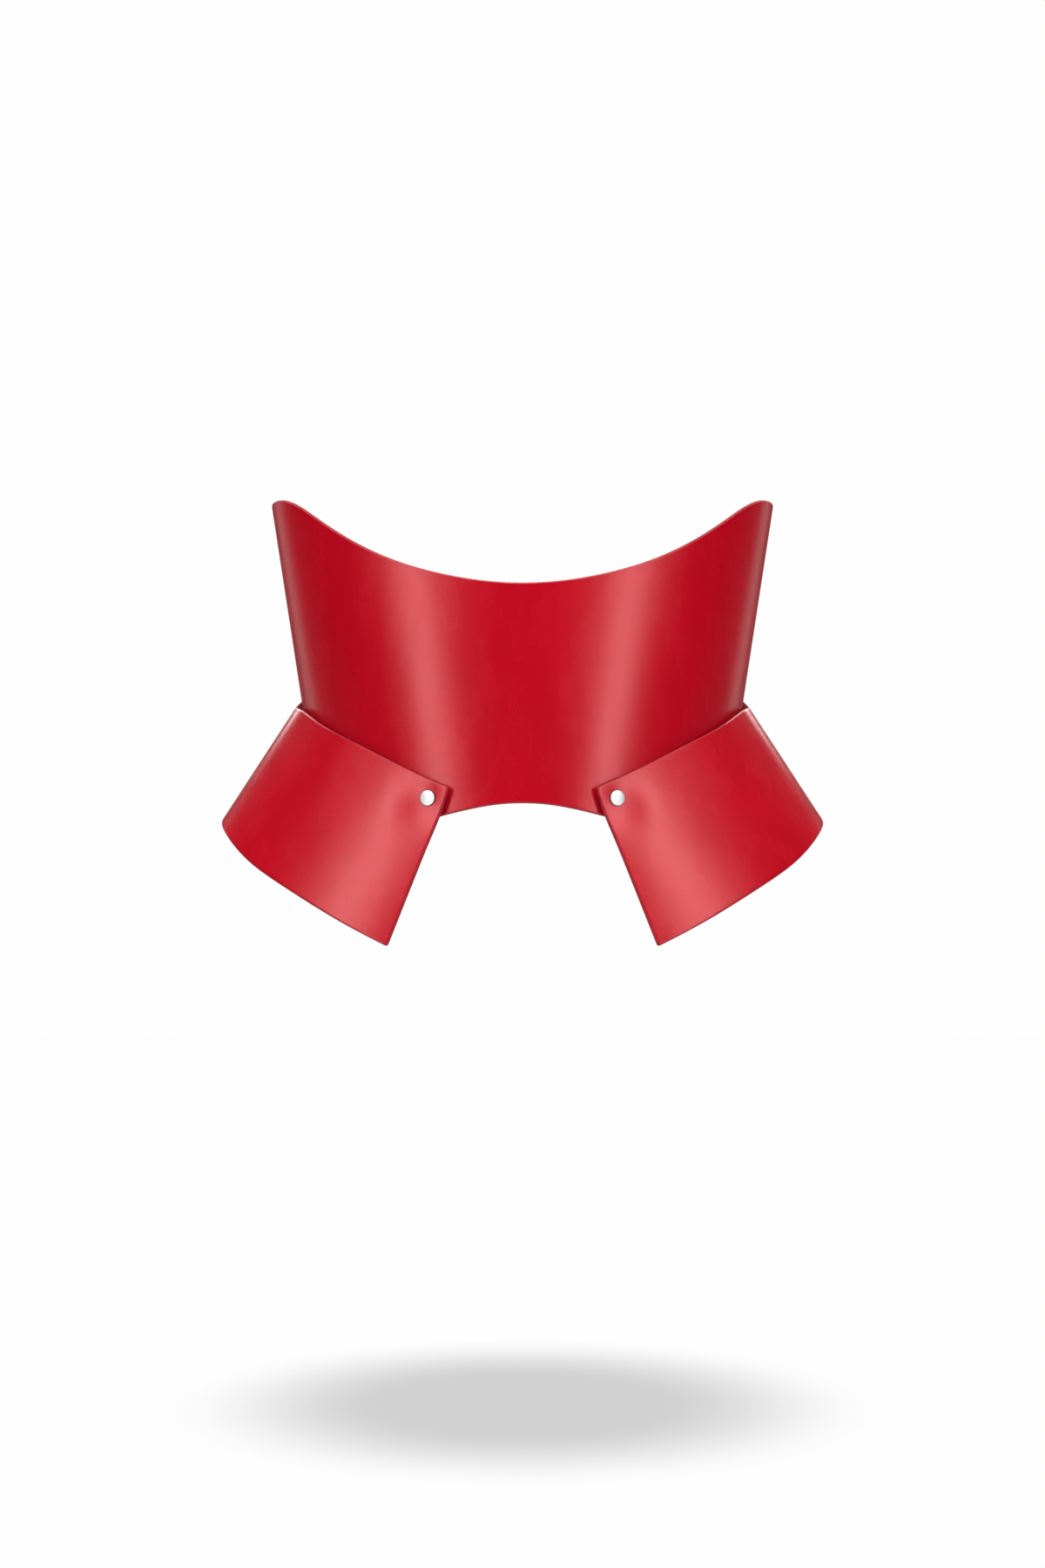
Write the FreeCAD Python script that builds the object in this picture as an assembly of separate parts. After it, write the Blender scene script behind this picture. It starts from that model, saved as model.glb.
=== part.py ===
"""Red leather waist belt with two hip flaps and a two-buckle back closure.

Millimetres.  The origin is at the centre of the waist, +Z is up the wearer's body and
the front of the belt faces -Y.  An angle round the body is measured from the centre
front, positive towards -X, so 90 is the hip at -X and 180 is the centre back.
"""
import FreeCAD, Part
import math
import os

V = FreeCAD.Vector

# ---- driving dimensions ---------------------------------------------------------------
WAIST_HALF_WIDTH = 126.4      # half width of the waist ellipse at z = 0
WAIST_HALF_DEPTH = 96.0       # half depth of the waist ellipse at z = 0
SIDE_FLARE = 0.154            # growth of the half width for each mm upwards
FRONT_FLARE = -0.08           # growth of the half depth: the front leans out downwards
LEATHER = 2.8                 # thickness of the bodice and the flaps
BODICE_END = 167.5            # the bodice stops this many degrees round, each way

# Outlines as (angle round the body, height); the curve between the points is smooth.
BODICE_TOP = [(0, 64.5), (16.5, 68.6), (32.4, 79), (43, 89.4), (52.3, 100), (63, 110.8),
              (75, 114.9), (84, 114), (94, 110.5), (108, 99), (124, 83), (142, 68),
              (157, 62), (168, 62)]
BODICE_BOTTOM = [(0, -56.4), (7, -57.2), (14, -59.6), (21.4, -63), (26, -64.6), (32, -61),
                 (45, -43), (60, -28), (75, -14.5), (90, -6), (112, -6), (135, -9),
                 (157, -12), (168, -12)]

FLAP_FRONT = 19.0             # angle of the front top corner of a flap
FLAP_REAR = 135.0             # angle of the rear top corner
FLAP_TOP = [(19, -48.2), (30, -38.4), (45, -24.6), (60, -13.3), (75, -3.5), (90, -1.2),
            (112, 7.8), (135, 17)]
FLAP_DROP = [(19, 93.3), (35, 91), (52, 88.2), (70, 83.4), (90, 76), (112, 69), (135, 61.8)]
FLAP_STAND = 3.8              # outer face of the flap above the bodice along its top edge
APEX = V(145, -30, 422)       # the straight lines down a flap fan out from here
APEX_SHIFT_Y = 0.9            # the fan point moves back this much for each degree
APEX_SHIFT_X = 50.0           # and towards the hip by this much behind the hip
CORNER_LIFT = 1.6             # how far the free front corner curls off the bodice
CORNER_REACH = 9.0

# Screw posts that hold the flaps: (angle, distance below the flap's top edge)
FLAP_POSTS = {"front": (23.1, 10.0), "rear": (128.5, 9.0)}
DIMPLE_DEPTH = 0.5            # share of the flap's flare that a post pulls in
DIMPLE_ALONG = 13.0           # reach of the pull of a post along the top edge
DIMPLE_DOWN = 16.0            # and down the flap
POST_HEAD = 9.0               # head diameter
POST_HEAD_RISE = 1.6
POST_CROWN = 0.7              # how much of the rise is the dome
POST_BARREL = 5.0
POST_BORE = 3.0
SCREW_HEAD = 9.0
SCREW_HEAD_RISE = 1.5
SCREW_SLOT = 1.0
CROWN_SHARE = 0.7             # how much of the rise of a screw head or a rivet is its dome
HOLE_PLAY = 0.1               # radial play of a barrel in its leather hole
INSIDE_GAP = 0.25             # flat caps stand this far off the hollow inner face

# Back closure.  "s" runs round the back from its centre, positive towards -X,
# "h" is the height above the outer face of the bodice, "v" runs up the strap's width.
CLOSURE_HEIGHTS = {"upper": 44.0, "lower": 6.0}
STRAP_WIDTH = 20.0
STRAP_THICK = 2.2
STRAP_PATH = [(-70, 1.6), (-58, 1.6), (-46, 1.5), (-34, 1.4), (-20, 1.5), (-8, 1.8), (0, 2.0),
              (6, 2.6), (11, 4.3), (16, 6.5), (20, 8.0), (25, 8.75), (30, 7.9), (36, 6.7),
              (42, 5.8), (48, 4.9), (56, 4.6), (64, 4.9), (71, 4.5), (78, 2.8), (84, 1.9),
              (90, 1.9)]
STRAP_HOLES = [-24, -4, 16, 36, 56]
STRAP_HOLE = (10.0, 4.6)      # length and width of an oblong buckle hole
CHAPE_THICK = 2.0
CHAPE_SLOT = 4.8              # width of the slot that the prong turns in
CHAPE_SLOT_LENGTH = 9.6
THROUGH = 16.0                # height of a tool that cuts through all the leather
HEEL_BAR = (24.0, 3.75)       # s and h of the bar that the prong turns on
FRONT_BAR = (4.0, 6.2)        # s and h of the bar that the roller turns on
WIRE = 3.0                    # diameter of the buckle frame's wire
BUCKLE_WIDTH = 24.5           # between the centre lines of the two side rails
BUCKLE_CORNER = 2.5
RUNNING_PLAY = 0.05           # radial play of the prong and the roller on their bars
ROLLER = (5.0, 19.0)          # diameter and length
PRONG_RING = (6.4, 3.4)       # diameter and width of the ring round the heel bar
PRONG_WIRE = 2.4
PRONG_CLEAR = 0.5             # gap between the resting prong and the roller
PRONG_OVERHANG = 2.2          # length of the tongue beyond the roller's centre
KEEPER_AT = 47.0
KEEPER = (7.0, 0.85)          # width along the strap and thickness
KEEPER_CORNER = 0.9
KEEPER_SIDE_PLAY = 0.6
KEEPER_GAP = (0.95, 6.9)      # heights between which the keeper is open
RIVET_CAP = 8.0
RIVET_CAP_RISE = 0.9
RIVET_SHANK = 3.2
CHAPE_RIVETS = [(36.0, 4.65), (64.0, 2.65)]    # s, and h of the leather under the cap
STRAP_RIVETS = [(-38.0, 2.65), (-60.0, 2.85)]


# ---- shape of the bodice and the flaps ------------------------------------------------
def smooth_curve(points):
    """Evenly bending curve through the points, as a function of the first coordinate."""
    xs = [p[0] for p in points]
    ys = [p[1] for p in points]
    gaps = [b - a for a, b in zip(xs, xs[1:])]
    rises = [(b - a) / g for a, b, g in zip(ys, ys[1:], gaps)]
    last = len(gaps)
    share, load = [0.0], [0.0]
    for i in range(1, last):
        pivot = 2 * (gaps[i - 1] + gaps[i]) - gaps[i - 1] * share[-1]
        share.append(gaps[i] / pivot)
        load.append((6 * (rises[i] - rises[i - 1]) - gaps[i - 1] * load[-1]) / pivot)
    bends = [0.0] * (last + 1)
    for i in range(last - 1, 0, -1):
        bends[i] = load[i] - share[i] * bends[i + 1]

    def value(x):
        i = max(k for k in range(last) if k == 0 or x >= xs[k])
        u, w = x - xs[i], xs[i + 1] - x
        return (ys[i] * w + ys[i + 1] * u) / gaps[i] - u * w / (6 * gaps[i]) * (
            bends[i] * (gaps[i] + w) + bends[i + 1] * (gaps[i] + u))
    return value


def both_ways(points):
    """The same outline on both sides of the centre front."""
    return [(-x, y) for x, y in reversed(points) if x > 0] + points


bodice_top = smooth_curve(both_ways(BODICE_TOP))
bodice_bottom = smooth_curve(both_ways(BODICE_BOTTOM))
flap_top = smooth_curve(FLAP_TOP)
flap_drop = smooth_curve(FLAP_DROP)
strap_rise = smooth_curve(STRAP_PATH)


def step(x):
    """0 to 1 with soft ends."""
    x = min(max(x, 0.0), 1.0)
    return x * x * (3 - 2 * x)


def body_axes(z):
    """Half width and half depth of the bodice's outer face at a height."""
    return WAIST_HALF_WIDTH + SIDE_FLARE * z, WAIST_HALF_DEPTH + FRONT_FLARE * z


def body_normal(angle, z):
    """Outward unit normal of the bodice's outer face."""
    t = math.radians(angle)
    a, b = body_axes(z)
    slope = SIDE_FLARE * math.sin(t) ** 2 / a + FRONT_FLARE * math.cos(t) ** 2 / b
    return V(-math.sin(t) / a, -math.cos(t) / b, -slope).normalize()


def body_point(angle, z, out=0.0):
    """Point on the bodice's outer face, moved outwards by out."""
    t = math.radians(angle)
    a, b = body_axes(z)
    return V(-a * math.sin(t), -b * math.cos(t), z) + body_normal(angle, z) * out


def flap_line(angle):
    """Top point and downward direction of one straight line of the flap at -X."""
    top = body_point(angle, flap_top(angle), FLAP_STAND)
    behind_hip = step((angle - 85) / 50)
    apex = APEX + V(-APEX_SHIFT_X * behind_hip, APEX_SHIFT_Y * (angle - FLAP_FRONT), 0)
    return top, (top - apex).normalize()


def flap_point(angle, down):
    """Outer face of the flap at -X, pulled in round its posts and lifted at its corner."""
    top, way = flap_line(angle)
    plain = top + way * down
    out = body_normal(angle, top.z)
    gap = down * way.dot(out)
    pull = 0.0
    for post_angle, post_down in FLAP_POSTS.values():
        along = (top - flap_line(post_angle)[0]).Length / DIMPLE_ALONG
        below = (down - post_down) / DIMPLE_DOWN
        pull = max(pull, DIMPLE_DEPTH * math.exp(-along**2 - below**2))
    corner = (plain - flap_line(FLAP_FRONT)[0]).Length / CORNER_REACH
    return plain + out * (CORNER_LIFT * math.exp(-corner**2) - gap * pull)


def flap_normal(angle, down):
    """Outward unit normal of the flap's outer face."""
    small = 0.2
    along = flap_point(angle + small, down) - flap_point(angle - small, down)
    below = flap_point(angle, down + small) - flap_point(angle, down - small)
    return below.cross(along).normalize()


# ---- solids from two faces --------------------------------------------------------------
def skin(rows):
    surface = Part.BSplineSurface()
    surface.interpolate(rows)
    return surface


def sheet_solid(outer_rows, inner_rows):
    """Solid sheet between an outer and an inner grid of points."""
    outer, inner = skin(outer_rows), skin(inner_rows)
    faces = [outer.toShape(), inner.toShape()]
    u0, u1, v0, v1 = outer.bounds()
    p0, p1, q0, q1 = inner.bounds()
    for a, b in ((outer.uIso(u0), inner.uIso(p0)), (outer.uIso(u1), inner.uIso(p1)),
                 (outer.vIso(v0), inner.vIso(q0)), (outer.vIso(v1), inner.vIso(q1))):
        faces.append(Part.makeRuledSurface(a.toShape(), b.toShape()))
    shell = Part.makeShell(faces)
    shell.sewShape()
    solid = Part.makeSolid(shell)
    if solid.Volume < 0:
        solid.reverse()
    return solid


def spread(first, last, count):
    return [first + (last - first) * i / (count - 1) for i in range(count)]


def put(shape, origin, x_way, z_way):
    """Move a shape from its own axes to the given origin, x axis and z axis."""
    z = V(z_way).normalize()
    y = z.cross(x_way).normalize()
    x = y.cross(z)
    moved = shape.copy()
    moved.Placement = FreeCAD.Placement(FreeCAD.Matrix(x.x, y.x, z.x, origin.x,
                                                       x.y, y.y, z.y, origin.y,
                                                       x.z, y.z, z.z, origin.z,
                                                       0, 0, 0, 1))
    return moved


def rod(start, end, diameter):
    way = end - start
    return Part.makeCylinder(diameter / 2, way.Length, start, way)


def mirrored(shape):
    return shape.mirror(V(0, 0, 0), V(1, 0, 0))


def domed(diameter, rise, crown):
    """Low dome of height crown standing on z = 0 with an upright rim, rise high in all."""
    radius = (diameter * diameter / 4 + crown * crown) / (2 * crown)
    ball = Part.makeSphere(radius, V(0, 0, rise - radius))
    return ball.common(Part.makeCylinder(diameter / 2, rise + 1, V(0, 0, 0)))


# ---- screw posts of the flaps -----------------------------------------------------------
def post_frame(place):
    """Seat of a post's head, its inward end on the bodice's inner face and its axis."""
    angle, down = FLAP_POSTS[place]
    seat = flap_point(angle, down)
    a, b = body_axes(seat.z)
    body_angle = math.degrees(math.atan2(-seat.x / a, -seat.y / b))
    surface = body_point(body_angle, seat.z)
    axis = body_normal(body_angle, seat.z)
    stack = (seat - surface).dot(axis)
    return seat, axis, stack + LEATHER + INSIDE_GAP


def make_post(place):
    seat, axis, stack = post_frame(place)
    barrel = Part.makeCylinder(POST_BARREL / 2, stack, V(0, 0, -stack))
    bore = Part.makeCylinder(POST_BORE / 2, stack - 0.6, V(0, 0, -stack))
    post = domed(POST_HEAD, POST_HEAD_RISE, POST_CROWN).fuse(barrel).cut(bore).removeSplitter()
    return put(post, seat, V(0, 0, 1), axis)


def make_screw(place):
    seat, axis, stack = post_frame(place)
    shank = Part.makeCylinder(POST_BORE / 2 - HOLE_PLAY, stack - 1.2, V(0, 0, -stack))
    head = domed(SCREW_HEAD, SCREW_HEAD_RISE, CROWN_SHARE * SCREW_HEAD_RISE)
    head.rotate(V(0, 0, 0), V(1, 0, 0), 180)
    head.translate(V(0, 0, -stack))
    slot = Part.makeBox(SCREW_HEAD, SCREW_SLOT, 0.7)
    slot.translate(V(-SCREW_HEAD / 2, -SCREW_SLOT / 2, -stack - SCREW_HEAD_RISE))
    return put(head.fuse(shank).cut(slot).removeSplitter(), seat, V(0, 0, 1), axis)


def post_hole(place, start, end, diameter):
    """Cylinder on a post's axis, from start to end above the head's seat."""
    seat, axis, _ = post_frame(place)
    return Part.makeCylinder(diameter / 2, end - start, seat + axis * start, axis)


# ---- leather body -----------------------------------------------------------------------
def make_flap():
    angles = spread(FLAP_FRONT, FLAP_REAR, 55)
    shares = spread(0, 1, 24)
    outer, inner = [], []
    for angle in angles:
        drop = flap_drop(angle)
        face = [flap_point(angle, share * drop) for share in shares]
        ways = [flap_normal(angle, share * drop) for share in shares]
        outer.append(face)
        inner.append([p - n * LEATHER for p, n in zip(face, ways)])
    flap = sheet_solid(outer, inner)
    for place in FLAP_POSTS:
        flap = flap.cut(post_hole(place, -6, 2, POST_BARREL + 2 * HOLE_PLAY))
        flap = flap.cut(post_hole(place, 0, 4, POST_HEAD + 2 * HOLE_PLAY))
    return flap


def make_bodice():
    angles = spread(-BODICE_END, BODICE_END, 121)
    outer, inner = [], []
    for angle in angles:
        low = bodice_bottom(angle)
        high = bodice_top(angle)
        heights = spread(low, high, 4)
        outer.append([body_point(angle, z) for z in heights])
        inner.append([body_point(angle, z, -LEATHER) for z in heights])
    bodice = sheet_solid(outer, inner)
    for place in FLAP_POSTS:
        hole = post_hole(place, -10, 2, POST_BARREL + 2 * HOLE_PLAY)
        bodice = bodice.cut(hole).cut(mirrored(hole))
    for height in CLOSURE_HEIGHTS.values():
        for s, _ in CHAPE_RIVETS + STRAP_RIVETS:
            bodice = bodice.cut(rivet_hole(height, s, -LEATHER - 1, 1))
    return bodice


# ---- back closure -----------------------------------------------------------------------
def back_angle(s, height):
    """Angle round the body at the distance s from the centre back."""
    a, b = body_axes(height)
    steps = 40
    angle = math.pi
    for _ in range(steps):
        speed = math.hypot(a * math.cos(angle), b * math.sin(angle))
        angle -= s / steps / speed
    return math.degrees(angle)


def closure_axes(height, s):
    """Point on the bodice, outward, along s and up the width, at s from the centre back.

    A straight strap lies in one plane square to the leaning back.
    """
    angle = back_angle(s, height)
    climb = FRONT_FLARE * (body_point(180, height).y - body_point(angle, height).y)
    base = body_point(angle, height + climb)
    out = body_normal(angle, height + climb)
    up = (body_point(angle, height + climb + 1) - base).normalize()
    return base, out, up.cross(out), up


def closure_point(height, s, h, v=0.0):
    base, out, _, up = closure_axes(height, s)
    return base + out * h + up * v


def rivet_hole(height, s, low, high):
    base, out, _, _ = closure_axes(height, s)
    return Part.makeCylinder(RIVET_SHANK / 2 + HOLE_PLAY, high - low, base + out * low, out)


def path_rows(path, thick):
    """Points of a path in the s-h plane, with their two sides half a thickness away."""
    curve = Part.BSplineCurve()
    curve.interpolate([V(s, h, 0) for s, h in path])
    count = int(curve.length() / 1.6) + 2
    middle = curve.discretize(Number=count)
    rows = []
    for i, p in enumerate(middle):
        way = (middle[min(i + 1, count - 1)] - middle[max(i - 1, 0)]).normalize()
        side = V(-way.y, way.x, 0) * (thick / 2)
        rows.append((p, p + side, p - side))
    return rows


def make_band(height, path, thick, width):
    """Leather band that follows a path in the s-h plane."""
    middle, _, _, up = closure_axes(height, 0)

    def lower_edge(s, h):
        point = closure_point(height, s, h)
        return point - up * (up.dot(point - middle) + width / 2)

    sides = []
    for side in (1, 2):
        curve = Part.BSplineCurve()
        curve.interpolate([lower_edge(row[side].x, row[side].y) for row in path_rows(path, thick)])
        sides.append(curve)
    above, below = sides
    edges = [above.toShape(), Part.makeLine(above.EndPoint, below.EndPoint),
             below.toShape(), Part.makeLine(below.StartPoint, above.StartPoint)]
    return Part.Face(Part.Wire(Part.sortEdges(edges)[0])).extrude(up * width)


def round_tail(height, s, h):
    """Tool that rounds the end of a strap whose tip lies at s and h."""
    half = STRAP_WIDTH / 2
    base, out, along, _ = closure_axes(height, s)
    block = Part.makeBox(2 * half, 4 * half, 6, V(-half, -2 * half, -3))
    block = block.cut(Part.makeCylinder(half, 6, V(-half, 0, -3)))
    return put(block, base + out * h, along, out)


def oblong_tool(length, width, deep):
    """Upright prism with round ends, centred on the origin."""
    straight = length - width
    box = Part.makeBox(straight, width, deep, V(-straight / 2, -width / 2, -deep / 2))
    for side in (-1, 1):
        box = box.fuse(Part.makeCylinder(width / 2, deep, V(side * straight / 2, 0, -deep / 2)))
    return box.removeSplitter()


def make_strap(height):
    strap = make_band(height, STRAP_PATH, STRAP_THICK, STRAP_WIDTH)
    strap = strap.cut(round_tail(height, *STRAP_PATH[-1]))
    for s in STRAP_HOLES:
        rise = strap_rise(s)
        ahead, behind = s + 1.5, s - 1.5
        centre = closure_point(height, s, rise)
        way = closure_point(height, ahead, strap_rise(ahead))
        way = way - closure_point(height, behind, strap_rise(behind))
        _, _, _, up = closure_axes(height, s)
        strap = strap.cut(put(oblong_tool(*STRAP_HOLE, THROUGH / 2), centre, way, way.cross(up)))
    for s, top in STRAP_RIVETS:
        strap = strap.cut(rivet_hole(height, s, -1, top + 1))
    return strap


def chape_path():
    """Folded strip: short lower layer, round the heel bar, back over the top."""
    s0, h0 = HEEL_BAR
    radius = h0 - CHAPE_THICK / 2 - 0.1
    lower = [(40, 1.1), (35, 1.1), (30, 1.1)]
    turn = []
    for angle in (-90, -126, -162, -198, -234, -270):
        a = math.radians(angle)
        turn.append((s0 + radius * math.cos(a), h0 + radius * math.sin(a)))
    upper = [(28, 5.3), (32, 3.8), (36, 3.25), (40, 3.2), (44, 2.75), (48, 2.35), (52, 2.15),
             (56, 1.65), (60, 1.5), (66, 1.5), (72, 1.6)]
    return lower + turn + upper


def make_chape(height):
    chape = make_band(height, chape_path(), CHAPE_THICK, STRAP_WIDTH)
    heel = closure_point(height, *HEEL_BAR)
    _, out, along, _ = closure_axes(height, HEEL_BAR[0])
    slot = Part.makeBox(CHAPE_SLOT_LENGTH, CHAPE_SLOT, THROUGH,
                        V(-CHAPE_SLOT_LENGTH / 2, -CHAPE_SLOT / 2, -THROUGH / 2))
    chape = chape.cut(put(slot, heel, along, out))
    for s, top in CHAPE_RIVETS:
        chape = chape.cut(rivet_hole(height, s, -1, top + 1))
    return chape


def make_keeper(height):
    width, thick = KEEPER
    half = STRAP_WIDTH / 2 + KEEPER_SIDE_PLAY
    low, high = KEEPER_GAP
    outer = Part.makeBox(width, 2 * (half + thick), high - low + 2 * thick,
                         V(-width / 2, -half - thick, low - thick))
    long_edges = [e for e in outer.Edges if abs(e.Length - width) < 0.01]
    outer = outer.makeFillet(KEEPER_CORNER, long_edges)
    inner = Part.makeBox(width + 2, 2 * half, high - low, V(-width / 2 - 1, -half, low))
    base, out, along, _ = closure_axes(height, KEEPER_AT)
    return put(outer.cut(inner), base, along, out)


def buckle_axes(height):
    """Heel bar centre, way to the front bar, outward way and distance between the bars."""
    heel = closure_point(height, *HEEL_BAR)
    front = closure_point(height, *FRONT_BAR)
    _, _, _, up = closure_axes(height, (HEEL_BAR[0] + FRONT_BAR[0]) / 2)
    ahead = front - heel
    return heel, ahead, up.cross(ahead).normalize(), ahead.Length


def in_buckle(shape, height):
    """Place a shape drawn with x from the heel bar to the front bar and z outwards."""
    heel, ahead, out, _ = buckle_axes(height)
    return put(shape, heel, ahead, out)


def make_frame(height):
    reach = buckle_axes(height)[3]
    half = BUCKLE_WIDTH / 2
    r = BUCKLE_CORNER
    frame = None
    for y in (-half, half):
        rail = rod(V(r, y, 0), V(reach - r, y, 0), WIRE)
        frame = rail if frame is None else frame.fuse(rail)
    for x in (0, reach):
        frame = frame.fuse(rod(V(x, -half + r, 0), V(x, half - r, 0), WIRE))
    corners = ((r, -half + r, 180), (reach - r, -half + r, 270), (reach - r, half - r, 0),
               (r, half - r, 90))
    for x, y, turn in corners:
        bend = Part.makeTorus(r, WIRE / 2, V(0, 0, 0), V(0, 0, 1), -180, 180, 90)
        bend.rotate(V(0, 0, 0), V(0, 0, 1), turn)
        bend.translate(V(x, y, 0))
        frame = frame.fuse(bend)
    return in_buckle(frame.removeSplitter(), height)


def make_roller(height):
    reach = buckle_axes(height)[3]
    diameter, length = ROLLER
    start, end = V(reach, -length / 2, 0), V(reach, length / 2, 0)
    tube = rod(start, end, diameter).cut(rod(start, end, WIRE + 2 * RUNNING_PLAY))
    return in_buckle(tube, height)


def make_prong(height):
    """Ring round the heel bar and a straight round tongue that rests over the roller."""
    reach = buckle_axes(height)[3]
    diameter, width = PRONG_RING
    rest = ROLLER[0] / 2 + PRONG_CLEAR + PRONG_WIRE / 2
    root, over = V(2.2, 0, 0.5), V(reach + 0.5, 0, rest)
    tip = over + (over - root).normalize() * PRONG_OVERHANG
    prong = rod(V(0, -width / 2, 0), V(0, width / 2, 0), diameter)
    prong = prong.fuse(rod(root, tip, PRONG_WIRE)).fuse(Part.makeSphere(PRONG_WIRE / 2, tip))
    bore = rod(V(0, -width, 0), V(0, width, 0), WIRE + 2 * RUNNING_PLAY)
    return in_buckle(prong.cut(bore).removeSplitter(), height)


def make_rivets(height, places, inside):
    """Outer caps with their shanks, or the caps on the inside of the bodice."""
    rivets = []
    for s, top in places:
        base, out, along, _ = closure_axes(height, s)
        cap = domed(RIVET_CAP, RIVET_CAP_RISE, CROWN_SHARE * RIVET_CAP_RISE)
        if inside:
            rivets.append(put(cap, base - out * (LEATHER + INSIDE_GAP), along, out * -1))
        else:
            deep = top + LEATHER + INSIDE_GAP
            shank = Part.makeCylinder(RIVET_SHANK / 2, deep, V(0, 0, -deep))
            rivet = cap.fuse(shank).removeSplitter()
            rivets.append(put(rivet, base + out * top, along, out))
    return Part.makeCompound(rivets)


# ---- the whole object -------------------------------------------------------------------
def make_nodes():
    """Every sub-part by its name.  Left and right are the wearer's, so right is -X."""
    nodes = {"bodice": make_bodice()}
    flap = make_flap()
    nodes["right_flap"] = flap
    nodes["left_flap"] = mirrored(flap)
    for place in FLAP_POSTS:
        for side, turn in (("right", lambda shape: shape), ("left", mirrored)):
            nodes[side + "_" + place + "_post"] = turn(make_post(place))
            nodes[side + "_" + place + "_screw"] = turn(make_screw(place))
    for level, height in CLOSURE_HEIGHTS.items():
        nodes[level + "_strap"] = make_strap(height)
        nodes[level + "_chape"] = make_chape(height)
        nodes[level + "_keeper"] = make_keeper(height)
        nodes[level + "_buckle_frame"] = make_frame(height)
        nodes[level + "_buckle_prong"] = make_prong(height)
        nodes[level + "_buckle_roller"] = make_roller(height)
        nodes[level + "_chape_rivets"] = make_rivets(height, CHAPE_RIVETS, False)
        nodes[level + "_chape_rivet_caps"] = make_rivets(height, CHAPE_RIVETS, True)
        nodes[level + "_strap_rivets"] = make_rivets(height, STRAP_RIVETS, False)
        nodes[level + "_strap_rivet_caps"] = make_rivets(height, STRAP_RIVETS, True)
    return nodes


def main():
    os.makedirs("parts", exist_ok=True)
    for name, shape in make_nodes().items():
        box = shape.BoundBox
        print("%-26s %s solids %d  %9.1f mm3  x %.1f..%.1f y %.1f..%.1f z %.1f..%.1f" % (
            name, "valid" if shape.isValid() else "NOT VALID", len(shape.Solids),
            shape.Volume, box.XMin, box.XMax, box.YMin, box.YMax, box.ZMin, box.ZMax))
        shape.exportStep("parts/" + name + ".step")


main()
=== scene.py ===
"""Looks of the red leather waist belt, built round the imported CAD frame.

Lengths in the tables are millimetres, as in the CAD; meshes are made in metres.
An angle round the body is measured from the centre front, positive towards -X.
"""
import math

import bmesh
import bpy
import numpy as np
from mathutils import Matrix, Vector
from mathutils.geometry import tessellate_polygon


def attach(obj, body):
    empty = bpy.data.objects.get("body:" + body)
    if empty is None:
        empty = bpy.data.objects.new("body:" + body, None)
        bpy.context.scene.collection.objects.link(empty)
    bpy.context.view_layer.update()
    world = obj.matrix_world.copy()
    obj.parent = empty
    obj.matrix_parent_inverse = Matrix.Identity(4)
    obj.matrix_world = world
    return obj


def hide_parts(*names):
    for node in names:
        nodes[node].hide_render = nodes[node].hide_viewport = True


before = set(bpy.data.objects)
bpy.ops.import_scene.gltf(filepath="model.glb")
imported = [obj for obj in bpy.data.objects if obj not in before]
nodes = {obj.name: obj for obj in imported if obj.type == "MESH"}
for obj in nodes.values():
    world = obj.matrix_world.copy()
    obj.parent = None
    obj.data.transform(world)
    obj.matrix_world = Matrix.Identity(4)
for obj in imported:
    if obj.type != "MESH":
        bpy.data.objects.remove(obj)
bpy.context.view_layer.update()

MM = 0.001
BELT = "belt"
SIDES = (("right", False), ("left", True))      # name, and whether it mirrors the side at -X

# ---- dimensions of the leather, as in the CAD -----------------------------------------
WAIST_HALF_WIDTH, SIDE_FLARE = 126.4, 0.154
WAIST_HALF_DEPTH, FRONT_FLARE = 96.0, -0.08
LEATHER = 2.8
BODICE_END = 167.5
BODICE_TOP = [(0, 64.5), (16.5, 68.6), (32.4, 79), (43, 89.4), (52.3, 100), (63, 110.8),
              (75, 114.9), (84, 114), (94, 110.5), (108, 99), (124, 83), (142, 68),
              (157, 62), (168, 62)]
BODICE_BOTTOM = [(0, -56.4), (7, -57.2), (14, -59.6), (21.4, -63), (26, -64.6), (32, -61),
                 (45, -43), (60, -28), (75, -14.5), (90, -6), (112, -6), (135, -9),
                 (157, -12), (168, -12)]
FLAP_FRONT, FLAP_REAR = 19.0, 135.0
FLAP_TOP = [(19, -48.2), (30, -38.4), (45, -24.6), (60, -13.3), (75, -3.5), (90, -1.2),
            (112, 7.8), (135, 17)]
FLAP_DROP = [(19, 93.3), (35, 91), (52, 88.2), (70, 83.4), (90, 76), (112, 69), (135, 61.8)]
FLAP_STAND = 3.8
APEX = np.array((145.0, -30.0, 422.0))
APEX_SHIFT_X, APEX_SHIFT_Y = 50.0, 0.9
HIP_END, HIP_FADE = 85.0, 50.0
CORNER_LIFT, CORNER_REACH = 1.6, 9.0
FLAP_POSTS = ((23.1, 10.0), (128.5, 9.0))
DIMPLE_DEPTH, DIMPLE_ALONG, DIMPLE_DOWN = 0.5, 13.0, 16.0

CLOSURE_HEIGHTS = {"upper": 44.0, "lower": 6.0}
STRAP_WIDTH, STRAP_THICK = 20.0, 2.2
STRAP_PATH = [(-70, 1.6), (-58, 1.6), (-46, 1.5), (-34, 1.4), (-20, 1.5), (-8, 1.8), (0, 2.0),
              (6, 2.6), (11, 4.3), (16, 6.5), (20, 8.0), (25, 8.75), (30, 7.9), (36, 6.7),
              (42, 5.8), (48, 4.9), (56, 4.6), (64, 4.9), (71, 4.5), (78, 2.8), (84, 1.9),
              (90, 1.9)]
STRAP_HOLES = (-24, -4, 16, 36, 56)
STRAP_HOLE = (10.0, 4.6)
CHAPE_THICK = 2.0
CHAPE_SLOT, CHAPE_SLOT_REACH = 4.8, 4.8
HEEL_BAR = (24.0, 3.75)
KEEPER_AT = 47.0
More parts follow.
